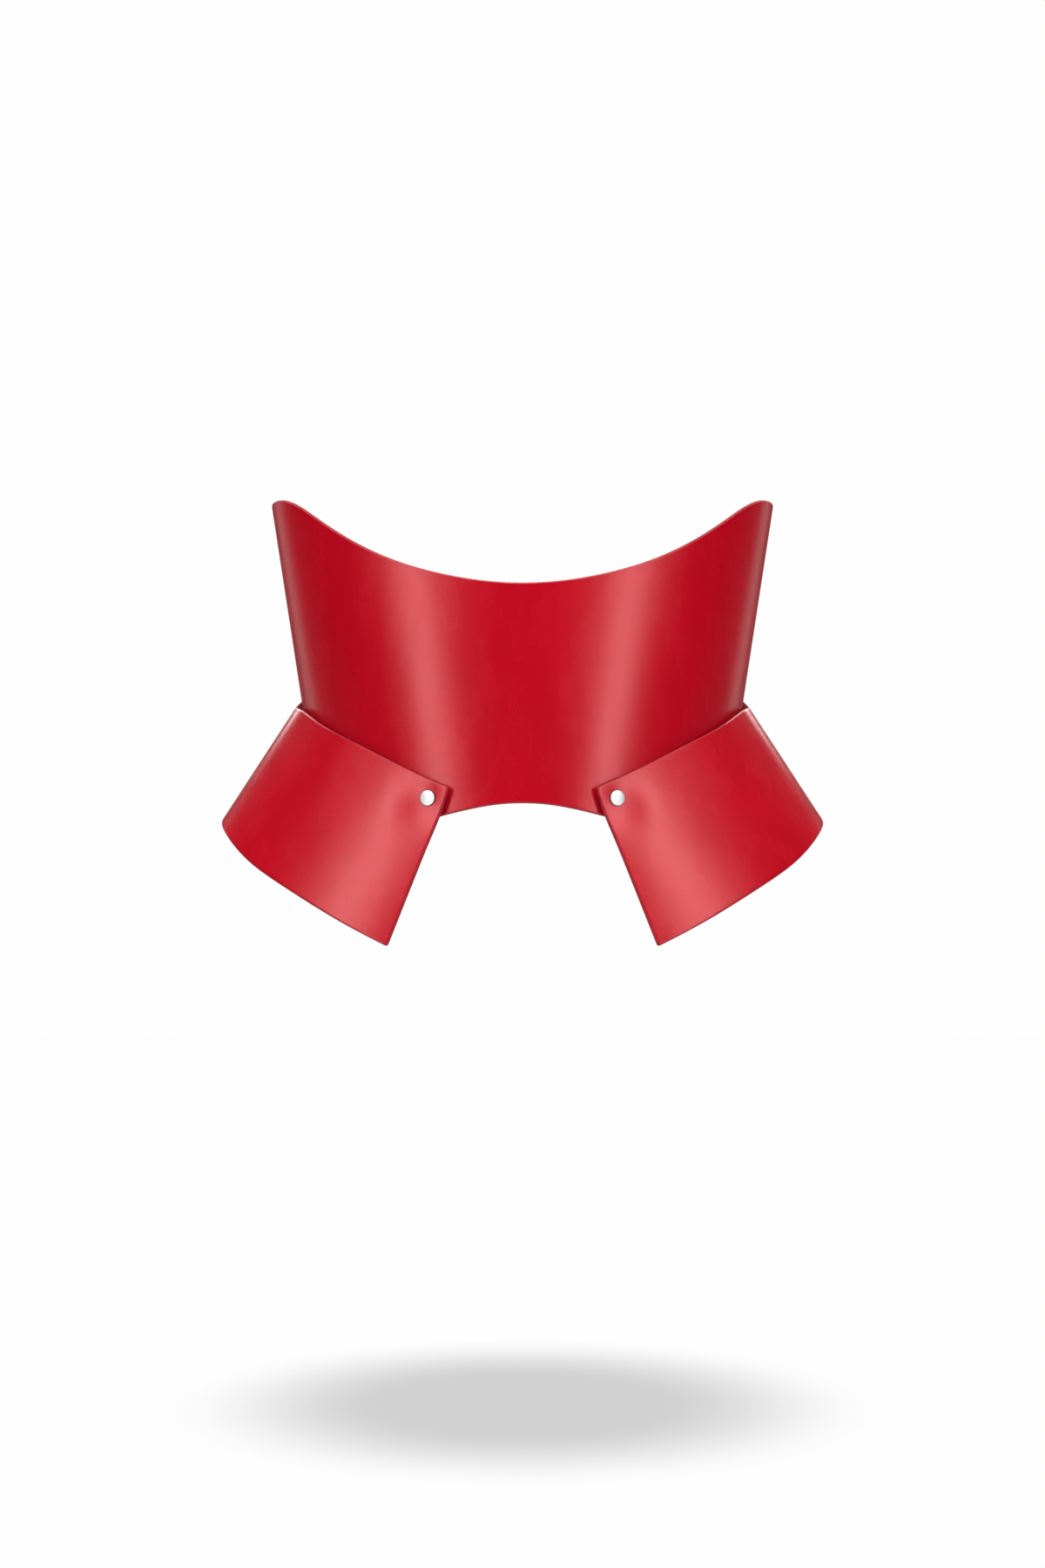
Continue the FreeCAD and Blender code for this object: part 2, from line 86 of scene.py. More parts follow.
KEEPER_WIDTH, KEEPER_THICK = 7.0, 0.85
KEEPER_LOW, KEEPER_HIGH, KEEPER_SIDE_PLAY = 0.95, 6.9, 0.6


# ---- shape of the body and the flaps ---------------------------------------------------
def smooth_curve(points):
    """Evenly bending curve through the points, as a function of the first coordinate."""
    xs, ys = np.array(points, float).T
    gaps = np.diff(xs)
    rises = np.diff(ys) / gaps
    count = len(xs)
    system, load = np.eye(count), np.zeros(count)
    for i in range(1, count - 1):
        system[i, i - 1:i + 2] = gaps[i - 1], 2 * (gaps[i - 1] + gaps[i]), gaps[i]
        load[i] = 6 * (rises[i] - rises[i - 1])
    bends = np.linalg.solve(system, load)

    def value(x):
        x = np.asarray(x, float)
        i = np.clip(np.searchsorted(xs, x, side="right") - 1, 0, count - 2)
        u, w, gap = x - xs[i], xs[i + 1] - x, gaps[i]
        bend = bends[i] * (gap + w) + bends[i + 1] * (gap + u)
        return (ys[i] * w + ys[i + 1] * u) / gap - u * w / (6 * gap) * bend
    return value


def both_ways(points):
    """The points of one half with their mirror images in front of them."""
    return [(-x, y) for x, y in reversed(points) if x > 0] + points


def unit(vectors):
    return vectors / np.linalg.norm(vectors, axis=-1, keepdims=True)


def stack(x, y, z):
    return np.stack(np.broadcast_arrays(x, y, z), axis=-1)


bodice_top = smooth_curve(both_ways(BODICE_TOP))
bodice_bottom = smooth_curve(both_ways(BODICE_BOTTOM))
flap_top = smooth_curve(FLAP_TOP)
flap_drop = smooth_curve(FLAP_DROP)


def body_axes(z):
    """Half width and half depth of the body's ellipse at a height."""
    return WAIST_HALF_WIDTH + SIDE_FLARE * z, WAIST_HALF_DEPTH + FRONT_FLARE * z


def body_normal(angle, z):
    """Outward direction of the body's surface."""
    t = np.radians(angle)
    a, b = body_axes(z)
    slope = SIDE_FLARE * np.sin(t) ** 2 / a + FRONT_FLARE * np.cos(t) ** 2 / b
    return unit(stack(-np.sin(t) / a, -np.cos(t) / b, -slope))


def body_point(angle, z, out=0.0):
    """Point at a distance outside the body's surface."""
    t = np.radians(angle)
    a, b = body_axes(z)
    return stack(-a * np.sin(t), -b * np.cos(t), z) + body_normal(angle, z) * out


def flap_line(angle):
    """Top point and downward direction of one straight line of the flap at -X."""
    top = body_point(angle, flap_top(angle), FLAP_STAND)
    x = np.clip((angle - HIP_END) / HIP_FADE, 0, 1)
    behind_hip = x * x * (3 - 2 * x)
    shift = stack(-APEX_SHIFT_X * behind_hip, APEX_SHIFT_Y * (angle - FLAP_FRONT), 0 * angle)
    return top, unit(top - APEX - shift)


def flap_point(angle, down):
    """Outer face of the flap at -X, pulled in round its posts and lifted at its corner."""
    angle, down = np.asarray(angle, float), np.asarray(down, float)
    top, way = flap_line(angle)
    plain = top + way * down[..., None]
    out = body_normal(angle, top[..., 2])
    gap = down * np.sum(way * out, axis=-1)
    pull = np.zeros_like(gap)
    for post_angle, post_down in FLAP_POSTS:
        post_top = flap_line(np.float64(post_angle))[0]
        along = np.linalg.norm(top - post_top, axis=-1) / DIMPLE_ALONG
        below = (down - post_down) / DIMPLE_DOWN
        pull = np.maximum(pull, DIMPLE_DEPTH * np.exp(-along**2 - below**2))
    corner_top = flap_line(np.float64(FLAP_FRONT))[0]
    corner = np.linalg.norm(plain - corner_top, axis=-1) / CORNER_REACH
    rise = CORNER_LIFT * np.exp(-corner**2) - gap * pull
    return plain + out * rise[..., None]


# ---- leather sheets with rounded edges -------------------------------------------------
RIM = 0.9                     # radius of the rounded leather edge
RIM_STEPS = 5
PAINTED = 0.35                # share of the rim's depth over which the edge paint fades in
CORNER_STEPS = 8
SMALL = 0.02                  # step for slopes, in the sheet's own coordinates
SHARE = 0.001                 # short share of a side, for its direction and speed
DEEP_INSIDE = 3.0             # distance past the last ring given to the inner grid
TABLE_END = 1.0               # degrees by which a table of angles passes the sheet's ends


class Sheet:
    """A curved leather sheet over a four-sided piece of a surface.

    surface(p) gives points for an array of flat coordinates p (..., 2).  sides are four
    functions of 0..1 that run round the sheet, radii are the corner radii after them and
    counts the numbers of points along them.  rings are the distances from the edge at
    which the flat faces have a ring of points; a grid fills the last one.
    """

    def __init__(self, surface, sides, radii, counts, thick, rings):
        self.surface, self.sides, self.radii = surface, sides, radii
        self.counts, self.thick, self.rings = counts, thick, rings
        self.points, self.faces = [], []
        self.edge, self.near, self.flesh = [], [], []

    def slopes(self, p):
        step_u, step_v = np.array((SMALL, 0.0)), np.array((0.0, SMALL))
        u = (self.surface(p + step_u) - self.surface(p - step_u)) / (2 * SMALL)
        v = (self.surface(p + step_v) - self.surface(p - step_v)) / (2 * SMALL)
        return u, v

    def normals(self, p):
        u, v = self.slopes(p)
        return unit(np.cross(u, v))

    def flat_step(self, p, move):
        """Change of the flat coordinates that moves the surface point by move."""
        u, v = self.slopes(p)
        uu, uv, vv = np.sum(u * u, -1), np.sum(u * v, -1), np.sum(v * v, -1)
        mu, mv = np.sum(u * move, -1), np.sum(v * move, -1)
        det = uu * vv - uv * uv
        return np.stack(((vv * mu - uv * mv) / det, (uu * mv - uv * mu) / det), -1)

    def side_frame(self, side, t):
        """Flat points of a side with the inward direction along the surface."""
        p = side(t)
        small = 1e-4
        ahead = self.surface(side(np.clip(t + small, 0, 1)))
        behind = self.surface(side(np.clip(t - small, 0, 1)))
        way = unit(ahead - behind)
        return p, unit(np.cross(self.normals(p), way))

    def corner(self, index):
        """Flat corner point, ways back and ahead along its two sides, and its radius."""
        before, after = self.sides[index], self.sides[(index + 1) % 4]
        k = before(np.array(1.0))
        here = self.surface(k)
        back = unit(self.surface(before(np.array(1 - SHARE / 2))) - here)
        ahead = unit(self.surface(after(np.array(SHARE / 2))) - here)
        return k, back, ahead, self.radii[index]

    def corner_foot(self, index):
        """Distance from a corner to where the deepest ring's corner stands on its sides."""
        _, back, ahead, _ = self.corner(index)
        return self.rings[-1] / math.tan(math.acos(np.clip(back @ ahead, -1, 1)) / 2)

    def speed(self, side, share, way):
        """Length of a side per unit of its share, from one of its points a short way along."""
        reach = self.surface(side(np.array(share + way * SHARE)))
        return np.linalg.norm(reach - self.surface(side(np.array(share)))) / SHARE

    def corner_arc(self, index, inset):
        """Flat points round a corner at a distance from the edge; one point past its radius."""
        k, back, ahead, radius = self.corner(index)
        half = math.acos(np.clip(back @ ahead, -1, 1)) / 2
        bisector = unit(back + ahead)
        if inset < radius:
            centre = bisector * (radius / math.sin(half))
            first = unit(back * (radius / math.tan(half)) - centre)
            last = unit(ahead * (radius / math.tan(half)) - centre)
            share = np.linspace(0, 1, CORNER_STEPS + 1)[:, None]
            sweep = math.acos(np.clip(first @ last, -1, 1))
            turn = (np.sin((1 - share) * sweep) * first
                    + np.sin(share * sweep) * last) / math.sin(sweep)
            move = centre + turn * (radius - inset)
        else:
            move = np.repeat((bisector * (inset / math.sin(half)))[None], CORNER_STEPS + 1, 0)
        return k + self.flat_step(np.repeat(k[None], CORNER_STEPS + 1, 0), move)

    def ring(self, inset):
        """Closed ring of flat points at a distance from the edge."""
        ring = []
        for index, side in enumerate(self.sides):
            first = self.corner_foot((index - 1) % 4) / self.speed(side, 0.0, 1)
            last = 1 - self.corner_foot(index) / self.speed(side, 1.0, -1)
            p, inward = self.side_frame(side, np.linspace(first, last, self.counts[index]))
            ring.append(p + self.flat_step(p, inward * inset))
            ring.append(self.corner_arc(index, inset))
        if inset == self.rings[-1]:
            for index in range(0, 8, 2):
                ring[index][0] = ring[index - 1][-1]
                ring[index][-1] = ring[index + 1][0]
        return np.concatenate(ring)

    def add(self, p, depth, edge, near, flesh):
        start = len(self.points)
        points = self.surface(p) - self.normals(p) * depth
        self.points.extend(points)
        for store, value in ((self.edge, edge), (self.near, near), (self.flesh, flesh)):
            store.extend([value] * len(p))
        return list(range(start, start + len(p)))

    def close(self, upper, lower):
        count = len(upper)
        for i in range(count):
            j = (i + 1) % count
            self.faces.append((upper[i], lower[i], lower[j], upper[j]))

    def inside(self, ring, border, depth, flesh, flip):
        """Quad grid inside the deepest ring."""
        sides, at = [], 0
        for index in range(4):
            count = self.counts[index]
            sides.append((ring[at:at + count], border[at:at + count]))
            at += count + CORNER_STEPS + 1
        (p0, i0), (p1, i1), (p2, i2), (p3, i3) = sides
        # each side runs from a corner to the next; the deepest ring's corners are points
        corner = [p0[0], p1[0], p2[0], p3[0]]
        nu, nv = len(i0), len(i1)
        s = np.linspace(0, 1, nu)[None, :, None]
        t = np.linspace(0, 1, nv)[:, None, None]
        low, high = p0[None], p2[::-1][None]
        left, right = p3[::-1][:, None], p1[:, None]
        grid = ((1 - t) * low + t * high + (1 - s) * left + s * right
                - ((1 - s) * (1 - t) * corner[0] + s * (1 - t) * corner[1]
                   + s * t * corner[2] + (1 - s) * t * corner[3]))
        index = np.zeros((nv, nu), int)
        index[0], index[-1] = i0, i2[::-1]
        index[:, 0], index[:, -1] = i3[::-1], i1
        body = grid[1:-1, 1:-1].reshape(-1, 2)
        added = self.add(body, depth, 0.0, self.rings[-1] + DEEP_INSIDE, flesh)
        index[1:-1, 1:-1] = np.array(added).reshape(nv - 2, nu - 2)
        for r in range(nv - 1):
            for c in range(nu - 1):
                face = (index[r, c], index[r, c + 1], index[r + 1, c + 1], index[r + 1, c])
                self.faces.append(face[::-1] if flip else face)

    def build(self):
        turns = np.radians(np.linspace(90, 0, RIM_STEPS + 1))
        profile = [(RIM * (1 - math.sin(a)), RIM * (1 - math.cos(a))) for a in turns]
        profile += [(inset, 0.0) for inset in self.rings]
        faces = {}
        for flip in (False, True):
            faces[flip] = []
            for inset, depth in profile:
                ring = self.ring(inset)
                edge = min(1.0, depth / (PAINTED * RIM))
                down = self.thick - depth if flip else depth
                faces[flip].append((ring, self.add(ring, down, edge, inset, float(flip))))
        for flip, rows in faces.items():
            for (_, a), (_, b) in zip(rows, rows[1:]):
                self.close(*((a, b) if flip else (b, a)))
            ring, border = rows[-1]
            self.inside(ring, border, self.thick if flip else 0.0, float(flip), flip)
        self.close(faces[False][0][1], faces[True][0][1])
        return self


def make_object(name, points, faces, edge, near, flesh, mirror=False):
    """Smooth mesh object in metres with the leather's attributes, duplicates merged."""
    points = np.array(points) * MM
    if mirror:
        points = points * np.array((-1.0, 1.0, 1.0))
        faces = [face[::-1] for face in faces]
    mesh = bpy.data.meshes.new(name)
    mesh.from_pydata(points.tolist(), [], [tuple(int(i) for i in f) for f in faces])
    for label, values in (("edge", edge), ("near", near), ("flesh", flesh)):
        layer = mesh.attributes.new(label, "FLOAT", "POINT")
        layer.data.foreach_set("value", np.array(values, np.float32))
    bm = bmesh.new()
    bm.from_mesh(mesh)
    bmesh.ops.remove_doubles(bm, verts=bm.verts, dist=2e-6)
    bmesh.ops.recalc_face_normals(bm, faces=bm.faces)
    bm.to_mesh(mesh)
    bm.free()
    mesh.polygons.foreach_set("use_smooth", [True] * len(mesh.polygons))
    piece = bpy.data.objects.new(name, mesh)
    bpy.context.scene.collection.objects.link(piece)
    return piece


def make_sheet(name, sheet, mirror=False):
    return make_object(name, sheet.points, sheet.faces, sheet.edge, sheet.near, sheet.flesh, mirror)


def run_length(line):
    """Length along a line at each of its points."""
    return np.concatenate(([0], np.cumsum(np.linalg.norm(np.diff(line, axis=0), axis=1))))


def bodice_sheet():
    middle = 30.0
    angles = np.linspace(-BODICE_END - TABLE_END, BODICE_END + TABLE_END, 2001)
    length = run_length(body_point(angles, np.full_like(angles, middle)))
    first, last = np.interp((-BODICE_END, BODICE_END), angles, length)
    whole = last - first

    # flat coordinates: length from the -X back end round the front to the +X one, so that
    # the normal points outwards, and height
    def surface(p):
        angle = np.interp(last - p[..., 0], length, angles)
        return body_point(angle, p[..., 1])

    def height(curve, x):
        return curve(np.interp(last - x, length, angles))

    def low(t):
        x = whole * t
        return np.stack((x, height(bodice_bottom, x)), -1)

    def high(t):
        x = whole * (1 - t)
        return np.stack((x, height(bodice_top, x)), -1)

    def end(t):
        start, stop = low(np.array(1.0))[1], high(np.array(0.0))[1]
        return np.stack((whole + 0 * t, start + (stop - start) * t), -1)

    def begin(t):
        start, stop = high(np.array(1.0))[1], low(np.array(0.0))[1]
        return np.stack((0 * t, start + (stop - start) * t), -1)

    return Sheet(surface, (low, end, high, begin), radii=(8, 8, 8, 8), counts=(281, 17, 281, 17),
                 thick=LEATHER, rings=(1.5, 2.4, 3.8, 6.0, 8.6)).build()


def flap_sheet():
    angles = np.linspace(FLAP_FRONT - TABLE_END, FLAP_REAR + TABLE_END, 1501)
    length = run_length(flap_line(angles)[0])
    first, last = np.interp((FLAP_FRONT, FLAP_REAR), angles, length)
    whole = last - first

    # flat coordinates: length along the top edge from the rear to the front, and height
    def angle_at(x):
        return np.interp(last - x, length, angles)

    def surface(p):
        return flap_point(angle_at(p[..., 0]), -p[..., 1])

    def low(t):
        return np.stack((whole * t, -flap_drop(angle_at(whole * t))), -1)

    def front(t):
        return np.stack((whole + 0 * t, -flap_drop(FLAP_FRONT) * (1 - t)), -1)

    def high(t):
        return np.stack((whole * (1 - t), 0 * t), -1)

    def rear(t):
        return np.stack((0 * t, -flap_drop(FLAP_REAR) * t), -1)

    return Sheet(surface, (low, front, high, rear), radii=(1.5, 2.2, 6, 6),
                 counts=(121, 49, 121, 49), thick=LEATHER, rings=(1.5, 2.4, 3.8, 6.2)).build()


# ---- back closure: flat leather strips bent along a path --------------------------------
STRIP_RIM = 0.55
HOLE_RIM = 0.22
ROUND_STEPS = 6
RIM_LINES = (1.4, 3.0)        # lines along a strip, measured from its edges
END_MARGIN = 0.2              # least distance of a cut from a strip's last end
WAY_STEP = 0.3                # half the stretch over which a path's direction is taken


def closure_frames(height, s):
    """Points on the bodice round the back at s from its centre, with their outward ways."""
    a, b = body_axes(height)
    angle = np.full_like(s, math.pi)
    steps = 40
    for _ in range(steps):
        angle = angle - s / steps / np.hypot(a * np.cos(angle), b * np.sin(angle))
    angle = np.degrees(angle)
    climb = FRONT_FLARE * (body_axes(height)[1] - body_point(angle, height)[..., 1])
    return body_point(angle, height + climb), body_normal(angle, height + climb)


def closure_up(height):
    """Middle of the closure at a height, and the way up a strap's width."""
    middle = body_point(180.0, height)
    return middle, unit(body_point(180.0, height + 1) - middle)


def path_line(points):
    """Fine line through the points of a path, with the length at each of its points."""
    points = np.array(points, float)
    chord = run_length(points)
    t = np.linspace(0, chord[-1], 1600)
    line = np.stack([smooth_curve(np.stack((chord, points[:, k]), -1))(t) for k in (0, 1)], -1)
    return line, run_length(line)


def arc(cx, cy, radius, start, sweep, steps):
    turns = np.radians(np.linspace(start, start + sweep, steps + 1))
    return [(cx + radius * math.cos(a), cy + radius * math.sin(a)) for a in turns]


def strip_outline(length, width, first, last, inset):
    """Strip from x = 0 to its length, with corner radii at its first and last end."""
    half = width / 2 - inset
    loop = []
    for cx, side, radius, start in ((length - last, -1, last, -90), (length - last, 1, last, 0),
                                    (first, 1, first, 90), (first, -1, first, 180)):
        r = radius - inset
        loop += arc(cx, side * (half - r), r, start, 90, ROUND_STEPS)
    return loop


def oblong(centre, length, width, outset):
    """Oblong hole along x, widened by outset, drawn clockwise."""
    straight = (length - width) / 2
    r = width / 2 + outset
    return (arc(centre - straight, 0, r, -90, -180, 2 * ROUND_STEPS)
            + arc(centre + straight, 0, r, 90, -180, 2 * ROUND_STEPS))


def rim_profile(rim, thick):
    """(inset, depth) from one face round the rounded edge to the other face."""
    turns = np.radians(np.linspace(0, 90, 5))
    upper = [(rim * (1 - math.sin(a)), rim * (1 - math.cos(a))) for a in turns]
    return upper + [(inset, thick - depth) for inset, depth in reversed(upper)]


def flat_strip(whole, thick, width, ends, holes, step):
    """Points and faces of a flat strip with rounded edges, cut across so that it can bend."""
    bm = bmesh.new()
    caps = {0: [], 1: []}
    for outline, rim in ([(lambda d: strip_outline(whole, width, *ends, d), STRIP_RIM)]
                         + [(lambda d, h=h: oblong(*h, d), HOLE_RIM) for h in holes]):
        rows = [[bm.verts.new((x, y, depth)) for x, y in outline(inset)]
                for inset, depth in rim_profile(rim, thick)]
        for a, b in zip(rows, rows[1:]):
            for i in range(len(a)):
                j = (i + 1) % len(a)
                bm.faces.new((a[i], a[j], b[j], b[i]))
        caps[0].append(rows[0])
        caps[1].append(rows[-1])
    for loops in caps.values():
        flat = [v for loop in loops for v in loop]
        for corners in tessellate_polygon([[Vector((v.co.x, v.co.y, 0)) for v in loop]
                                           for loop in loops]):
            bm.faces.new([flat[i] for i in corners])
    half = width / 2
    first, second = (half - line for line in RIM_LINES)
    cuts = [((x, 0, 0), (1, 0, 0)) for x in np.arange(step, whole - END_MARGIN, step)]
    cuts += [((0, y, 0), (0, 1, 0)) for y in (-first, -second, -half / 2, 0, half / 2,
                                               second, first)]
    for place, way in cuts:
        bmesh.ops.bisect_plane(bm, geom=bm.verts[:] + bm.edges[:] + bm.faces[:], dist=1e-4,
                               plane_co=place, plane_no=way)
    # slanting edges on the flat faces are left over from filling them, and bend badly
    spare = [e for e in bm.edges if len(e.link_faces) == 2
             and abs(e.verts[0].co.x - e.verts[1].co.x) > 1e-3
             and abs(e.verts[0].co.y - e.verts[1].co.y) > 1e-3
             and all(abs(f.normal.z) > 0.9999 and abs(f.calc_center_median().z - thick / 2)
                     > thick / 2 - 1e-4 for f in e.link_faces)]
    bmesh.ops.dissolve_edges(bm, edges=spare, use_verts=True)
    bm.verts.ensure_lookup_table()
    points = np.array([v.co for v in bm.verts])
    faces = [[v.index for v in f.verts] for f in bm.faces]
    bm.free()
    return points, faces


def make_strip(name, height, path, thick, width, ends, holes, step):
    """Leather strip with rounded edges and oblong holes, laid along its path.

    ends are the corner radii of its first and last end; holes are (centre, length, width)
    along it; step is the spacing of the cuts that let it bend.
    """
    line, length = path_line(path)
    whole = length[-1]
    points, faces = flat_strip(whole, thick, width, ends, holes, step)
    x, y, depth = points.T

    def on_path(at):
        return np.stack([np.interp(at, length, line[:, k]) for k in (0, 1)], -1)

    s, h = on_path(x).T
    way = unit(on_path(x + WAY_STEP) - on_path(x - WAY_STEP))
    off = thick / 2 - depth
    base, out = closure_frames(height, s - way[:, 1] * off)
    point = base + out * (h + way[:, 0] * off)[:, None]
    middle, up = closure_up(height)
    point = point - up * ((point - middle) @ up)[:, None] + up * y[:, None]
    near = np.minimum(width / 2 - np.abs(y), np.minimum(x, whole - x))
    rim_depth = np.minimum(depth, thick - depth)
    edge = np.clip(rim_depth / (PAINTED * STRIP_RIM), 0, 1)
    return make_object(name, point, faces, edge, np.maximum(near, 0), depth > thick / 2)


def length_at(path, s, upward=True):
    """Length along a path to where it passes s, on the stretch where s grows or falls."""
    line, length = path_line(path)
    grows = np.gradient(line[:, 0]) > 0
    chosen = grows if upward else ~grows
    order = np.argsort(line[chosen, 0])
    return float(np.interp(s, line[chosen, 0][order], length[chosen][order]))


def make_strap(name, height):
    """Strap with its row of holes; the rounded tail is its last end."""
    holes = [(length_at(STRAP_PATH, s), *STRAP_HOLE) for s in STRAP_HOLES]
    return make_strip(name, height, STRAP_PATH, STRAP_THICK, STRAP_WIDTH,
                      ends=(2.0, STRAP_WIDTH / 2 - 0.01), holes=holes, step=1.5)


def chape_path():
    """Folded strip: short lower layer, round the heel bar, back over the top."""
    s0, h0 = HEEL_BAR
    radius = h0 - CHAPE_THICK / 2 - 0.1
    turn = [(s0 + radius * math.cos(a), h0 + radius * math.sin(a))
            for a in np.radians(np.linspace(-90, -270, 6))]
    upper = [(28, 5.3), (32, 3.8), (36, 3.25), (40, 3.2), (44, 2.75), (48, 2.35), (52, 2.15),
             (56, 1.65), (60, 1.5), (66, 1.5), (72, 1.6)]
    return [(40, 1.1), (35, 1.1), (30, 1.1)] + turn + upper


def make_chape(name, height):
    """Folded chape with the slot for the prong, which passes round the heel bar."""
    path = chape_path()
    reach = HEEL_BAR[0] + CHAPE_SLOT_REACH
    first, last = length_at(path, reach, False), length_at(path, reach)
    slot = ((first + last) / 2, last - first, CHAPE_SLOT)
    return make_strip(name, height, path, CHAPE_THICK, STRAP_WIDTH,
                      ends=(1.2, 3.0), holes=[slot], step=0.6)


def make_keeper(name, height):
    """Loop of thin leather round the strap and the chape."""
    base, out = closure_frames(height, np.array([KEEPER_AT]))
    _, up = closure_up(height)
    base, out = base[0], out[0]
    along = unit(np.cross(up, out))
    up = np.cross(out, along)
    half = STRAP_WIDTH / 2 + KEEPER_SIDE_PLAY
    middle = (KEEPER_LOW + KEEPER_HIGH) / 2
    tall = (KEEPER_HIGH - KEEPER_LOW) / 2
    rim, bend = 0.28, 0.45
    painted = 0.3
    section = []
    across = KEEPER_WIDTH / 2 - rim
    for side, level, start in ((1, KEEPER_THICK - rim, 0), (-1, KEEPER_THICK - rim, 90),
                               (-1, rim, 180), (1, rim, 270)):
        section += arc(side * across, level, rim, start, 90, 3)
        if start in (0, 180):
            flat = KEEPER_THICK if start == 0 else 0.0
            section += [(side * share * across, flat) for share in (0.85, 0.45, 0, -0.45, -0.85)]
    loop = []
    for cy, cz, start in ((half - bend, tall - bend, 0), (-half + bend, tall - bend, 90),
                          (-half + bend, -tall + bend, 180), (half - bend, -tall + bend, 270)):
        turns = np.radians(np.linspace(start, start + 90, 7))
        loop += [(cy, cz, math.cos(a), math.sin(a)) for a in turns]
    points, faces, edge, near, flesh = [], [], [], [], []
    for cy, cz, ny, nz in loop:
        for x, t in section:
            reach = bend + t
            points.append(base + along * x + up * (cy + ny * reach)
                          + out * (middle + cz + nz * reach))
            edge.append(1.0 if abs(x) > KEEPER_WIDTH / 2 - painted else 0.0)
            near.append(KEEPER_WIDTH / 2 - abs(x))
            flesh.append(1.0 if t < KEEPER_THICK / 2 else 0.0)
    count = len(section)
    for i in range(len(loop)):
        j = (i + 1) % len(loop)
        for k in range(count):
            m = (k + 1) % count
            faces.append((i * count + k, i * count + m, j * count + m, j * count + k))
    return make_object(name, points, faces, edge, near, flesh)


# ---- heads of the screw posts ------------------------------------------------------------
HEAD_RADIUS, HEAD_RISE, HEAD_CROWN = 4.5, 1.6, 0.7
HEAD_RIM, HEAD_FOOT = 0.42, 0.12
BARREL_RADIUS = 2.5
INSIDE_GAP = 0.25
TURNS = 96


def post_profile(deep):
    """(radius, height, share of painted shade) from the crown down to the barrel's end; the painted
    shade is a dark ring round the head's rim and foot.
    """
    ball = (HEAD_RADIUS**2 + HEAD_CROWN**2) / (2 * HEAD_CROWN)
    profile = []
    for radius in np.linspace(0, HEAD_RADIUS - HEAD_RIM, 14):
        profile.append((radius, HEAD_RISE - ball + math.sqrt(ball**2 - radius**2), 0.0))
    top = profile[-1][1]
    for turn in np.radians(np.linspace(0, 90, 7)[1:]):
        profile.append((HEAD_RADIUS - HEAD_RIM + HEAD_RIM * math.sin(turn),
                        top - HEAD_RIM * 0.9 * (1 - math.cos(turn)), 1.0))
    profile += [(HEAD_RADIUS, HEAD_FOOT, 1.0), (HEAD_RADIUS - HEAD_FOOT, 0.0, 1.0),
                (BARREL_RADIUS, 0.0, 1.0), (BARREL_RADIUS, -deep, 0.0), (0.0, -deep, 0.0)]
    return profile


def make_post(name, angle, down, mirror):
    """Screw post: domed head with a rolled rim on its barrel."""
    flip = np.array((-1.0 if mirror else 1.0, 1.0, 1.0))
    seat = flap_point(angle, down)
    a, b = body_axes(seat[2])
    body_angle = math.degrees(math.atan2(-seat[0] / a, -seat[1] / b))
    axis = body_normal(body_angle, seat[2])
    deep = (seat - body_point(body_angle, seat[2])) @ axis + LEATHER + INSIDE_GAP
    seat, axis = seat * flip, axis * flip
    side = unit(np.cross(axis, (0.0, 0.0, 1.0)))
    other = np.cross(axis, side)
    points, faces, rim_shade = [], [], []
    rows = []
    for radius, height, rim in post_profile(deep):
        count = TURNS if radius > 1e-6 else 1
        rows.append(range(len(points), len(points) + count))
        for i in range(count):
            turn = 2 * math.pi * i / count
            points.append(seat + axis * height
                          + (side * math.cos(turn) + other * math.sin(turn)) * radius)
            # painted shade: the rim and foot of the head get a dark ring, as if shaded where the
            # head meets the leather
            rim_shade.append(rim)
    for upper, lower in zip(rows, rows[1:]):
        for i in range(TURNS):
            j = (i + 1) % TURNS
            face = [upper[i % len(upper)], lower[i % len(lower)], lower[j % len(lower)],
                    upper[j % len(upper)]]
            faces.append(tuple(dict.fromkeys(face)))
    return make_object(name, points, faces, rim_shade, rim_shade, [0.0] * len(points))


